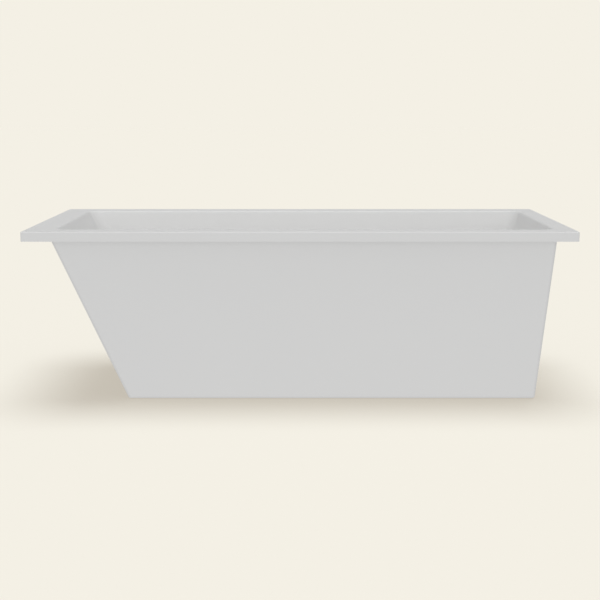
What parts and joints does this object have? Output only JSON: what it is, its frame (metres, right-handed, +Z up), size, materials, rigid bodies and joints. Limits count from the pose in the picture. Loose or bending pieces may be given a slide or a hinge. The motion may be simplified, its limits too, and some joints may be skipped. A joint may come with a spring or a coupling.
{
  "type": "freestanding bathtub",
  "caption": "Freestanding single-ended bathtub: white double-skinned shell with flat rim, tapered skirt, sloped backrest, pop-up waste, overflow and hidden levelling frame.",
  "frame": {"origin": "on the floor, under the centre of the rim", "axes": "+X from the sloped backrest end to the waste end, +Y across the bath to the rear, +Z up"},
  "size_m": [1.7, 0.75, 0.55],
  "materials": {
    "white_acrylic": "satin",
    "glass_fibre": "matte",
    "timber": "matte",
    "plywood": "matte",
    "resin_bed": "matte",
    "painted_tube": "satin",
    "zinc_steel": "satin",
    "black_plastic": "matte",
    "rubber_black": "matte",
    "chrome": "polished",
    "brass": "satin",
    "spring_steel": "satin",
    "white_pipe": "satin",
    "grey_fitting": "satin"
  },
  "bodies": {
    "bath": {"basin_shell": "white_acrylic", "skirt_shell": "white_acrylic", "basin_backing": "glass_fibre", "rim_batten_front": "timber", "rim_batten_rear": "timber", "rim_batten_head": "timber", "rim_batten_foot": "timber", "base_bedding": "resin_bed", "base_board": "plywood", "frame_cross_head": "painted_tube", "frame_cross_middle": "painted_tube", "frame_cross_foot": "painted_tube", "frame_rail_front": "painted_tube", "frame_rail_rear": "painted_tube", "frame_end_caps": "black_plastic", "frame_screws": "zinc_steel", "frame_weld_nuts": "zinc_steel", "waste_seal_upper": "rubber_black", "waste_seal_lower": "rubber_black", "waste_flange": "chrome", "waste_locknut": "grey_fitting", "waste_tee": "white_pipe", "waste_tailpiece": "white_pipe", "tail_nut": "grey_fitting", "tail_seal": "rubber_black", "inlet_nut": "grey_fitting", "inlet_seal": "rubber_black", "plug_cartridge": "brass", "plug_spring": "spring_steel", "overflow_ring": "chrome", "overflow_cover": "chrome", "overflow_gasket": "rubber_black", "overflow_duct": "white_pipe", "overflow_pipe": "white_pipe", "foot_locknut_head_front": "zinc_steel", "foot_locknut_head_rear": "zinc_steel", "foot_locknut_foot_front": "zinc_steel", "foot_locknut_foot_rear": "zinc_steel"},
    "plug": {"plug_cap": "chrome", "plug_seal": "rubber_black", "plug_stem": "brass"},
    "pad_head_front": {"foot_pad_head_front": "rubber_black"},
    "stud_head_front": {"foot_stud_head_front": "zinc_steel"},
    "pad_head_rear": {"foot_pad_head_rear": "rubber_black"},
    "stud_head_rear": {"foot_stud_head_rear": "zinc_steel"},
    "pad_foot_front": {"foot_pad_foot_front": "rubber_black"},
    "stud_foot_front": {"foot_stud_foot_front": "zinc_steel"},
    "pad_foot_rear": {"foot_pad_foot_rear": "rubber_black"},
    "stud_foot_rear": {"foot_stud_foot_rear": "zinc_steel"}
  },
  "joints": [
    {"name": "plug_press", "type": "slide", "parent": "bath", "child": "plug", "axis": [0, 0, 1], "range_m": [-0.009, 0], "stiffness_N_per_m": 800, "springref_m": 0.004, "deforming": ["plug_spring"]},
    {"name": "foot_level_head_front", "type": "slide", "parent": "bath", "child": "pad_head_front", "axis": [0, 0, 1], "range_m": [-0.02, 0.002]},
    {"name": "foot_turn_head_front", "type": "hinge", "parent": "pad_head_front", "child": "stud_head_front", "pos_m": [-0.42488, -0.16511, 0], "axis": [0, 0, 1], "range_deg": [-4116, 413]},
    {"name": "foot_level_head_rear", "type": "slide", "parent": "bath", "child": "pad_head_rear", "axis": [0, 0, 1], "range_m": [-0.02, 0.002]},
    {"name": "foot_turn_head_rear", "type": "hinge", "parent": "pad_head_rear", "child": "stud_head_rear", "pos_m": [-0.42488, 0.16511, 0], "axis": [0, 0, 1], "range_deg": [-4116, 413]},
    {"name": "foot_level_foot_front", "type": "slide", "parent": "bath", "child": "pad_foot_front", "axis": [0, 0, 1], "range_m": [-0.02, 0.002]},
    {"name": "foot_turn_foot_front", "type": "hinge", "parent": "pad_foot_front", "child": "stud_foot_front", "pos_m": [0.48653, -0.16511, 0], "axis": [0, 0, 1], "range_deg": [-4116, 413]},
    {"name": "foot_level_foot_rear", "type": "slide", "parent": "bath", "child": "pad_foot_rear", "axis": [0, 0, 1], "range_m": [-0.02, 0.002]},
    {"name": "foot_turn_foot_rear", "type": "hinge", "parent": "pad_foot_rear", "child": "stud_foot_rear", "pos_m": [0.48653, 0.16511, 0], "axis": [0, 0, 1], "range_deg": [-4116, 413]}
  ],
  "couplings": [
    {"joint": "foot_turn_head_front", "follows": "foot_level_head_front", "rad_per_m": 3590.4},
    {"joint": "foot_turn_head_rear", "follows": "foot_level_head_rear", "rad_per_m": 3590.4},
    {"joint": "foot_turn_foot_front", "follows": "foot_level_foot_front", "rad_per_m": 3590.4},
    {"joint": "foot_turn_foot_rear", "follows": "foot_level_foot_rear", "rad_per_m": 3590.4}
  ]
}
